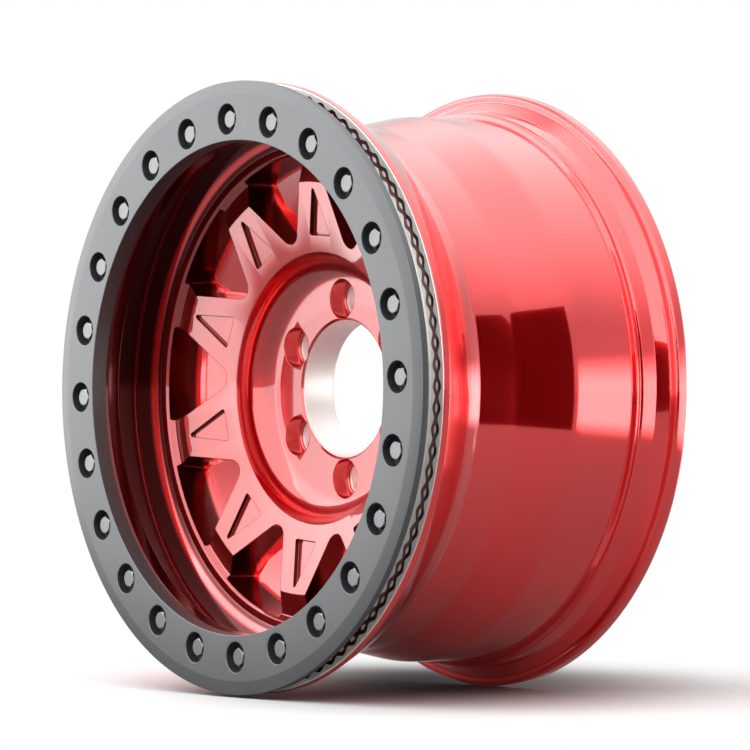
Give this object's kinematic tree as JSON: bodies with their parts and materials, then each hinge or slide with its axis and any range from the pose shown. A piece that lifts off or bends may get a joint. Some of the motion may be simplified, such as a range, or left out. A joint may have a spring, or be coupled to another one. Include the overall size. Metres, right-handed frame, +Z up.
{
  "type": "beadlock wheel",
  "caption": "Cast off-road wheel with open spokes and a bolted outer ring that clamps the tyre bead; carried on a hub bore and a lug circle.",
  "frame": {"origin": "on the axle line, in the plane of the mounting pad", "axes": "+Y along the axle towards the vehicle, -Y towards the beadlock ring, +Z up"},
  "size_m": [0.4712, 0.257, 0.4712],
  "materials": {
    "candy_red": "candy lacquer over a bright base, bare where machined",
    "ring_grey": "satin anodised grey",
    "bolt_black": "black oxide",
    "steel": "plain steel"
  },
  "bodies": {
    "root": {"wheel_casting": "candy_red", "beadlock_ring": "ring_grey", "beadlock_bolts": "bolt_black", "bolt_washers": "bolt_black", "thread_inserts": "steel"}
  },
  "joints": []
}
